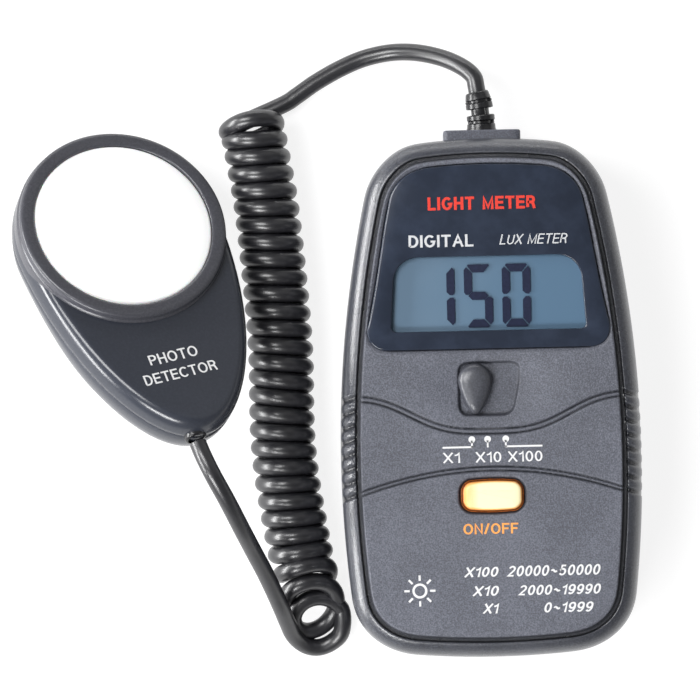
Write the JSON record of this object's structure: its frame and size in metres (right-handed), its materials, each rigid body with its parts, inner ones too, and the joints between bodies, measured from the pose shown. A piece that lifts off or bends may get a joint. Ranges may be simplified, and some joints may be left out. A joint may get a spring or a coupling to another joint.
{
  "type": "light meter",
  "caption": "Hand-held light meter with a display, range switch and power button, and a light sensor head with a white diffuser disc on a curly cord.",
  "frame": {"origin": "middle of the meter case's flat back, on the surface that the meter lies on", "axes": "+X to the right as the display is read, +Y towards the cord's exit, +Z out of the display"},
  "size_m": [0.1456, 0.1431, 0.0451],
  "materials": {
    "case_plastic": "fine moulded grain",
    "sensor_plastic": "smooth, satin",
    "label_print": "printed, glossy",
    "lcd_glass": "glossy",
    "knob_plastic": "satin",
    "button_amber": "translucent, satin",
    "cord_rubber": "smooth, semi-gloss",
    "diffuser_white": "opal, matt",
    "black_plastic": "matt",
    "white_plastic": "matt",
    "board_green": "solder resist",
    "screw_steel": "plated",
    "battery_skin": "printed can",
    "wire_red": "smooth",
    "filter_glass": "glossy"
  },
  "bodies": {
    "root": {"front_case": "case_plastic", "rear_case": "case_plastic", "cord_block": "case_plastic", "display_label": "label_print", "lcd_panel": "lcd_glass", "lcd_frame": "white_plastic", "contact_strip_lower": "black_plastic", "contact_strip_upper": "black_plastic", "slide_switch_body": "screw_steel", "push_switch_body": "screw_steel", "main_board": "board_green", "converter_chip": "black_plastic", "smoothing_capacitor": "black_plastic", "trimmer": "wire_red", "head_connector": "white_plastic", "inner_cable": "cord_rubber", "battery": "battery_skin", "battery_snap": "black_plastic", "battery_wire_red": "wire_red", "battery_wire_black": "cord_rubber", "strain_relief": "cord_rubber", "cord_lead_meter": "cord_rubber", "cord_coil": "cord_rubber", "case_screw_1": "screw_steel", "case_screw_2": "screw_steel", "case_screw_3": "screw_steel", "case_screw_4": "screw_steel"},
    "range_switch": {"range_knob": "knob_plastic", "switch_actuator": "white_plastic"},
    "power_switch": {"power_button": "button_amber", "push_switch_plunger": "black_plastic"},
    "battery_door": {"battery_cover": "case_plastic"},
    "cord_end": {"cord_lead_head": "cord_rubber"},
    "sensor_head": {"sensor_front_shell": "sensor_plastic", "sensor_rear_shell": "sensor_plastic", "disc_ring": "sensor_plastic", "diffuser_disc": "diffuser_white", "filter_holder": "black_plastic", "colour_filter": "filter_glass", "photodiode": "screw_steel", "sensor_board": "board_green", "sensor_cable": "cord_rubber", "sensor_grommet": "cord_rubber", "sensor_screw_1": "screw_steel", "sensor_screw_2": "screw_steel", "sensor_screw_3": "screw_steel"}
  },
  "joints": [
    {"name": "range_slide", "type": "slide", "parent": "root", "child": "range_switch", "axis": [1, 0, 0], "range_m": [0, 0.007]},
    {"name": "power_press", "type": "slide", "parent": "root", "child": "power_switch", "axis": [0, 0, -1], "range_m": [0, 0.0012], "stiffness_N_per_m": 300},
    {"name": "battery_cover_slide", "type": "slide", "parent": "root", "child": "battery_door", "axis": [0, -1, 0], "range_m": [0, 0.034]},
    {"name": "cord_stretch", "type": "slide", "parent": "root", "child": "cord_end", "axis": [0, -1, 0], "range_m": [0, 0.06], "stiffness_N_per_m": 12},
    {"name": "head_swivel", "type": "hinge", "parent": "cord_end", "child": "sensor_head", "pos_m": [-0.08572, 0.03825, 0.0189], "axis": [0.3281, -0.8593, 0.3923], "range_deg": [0, 38]}
  ]
}
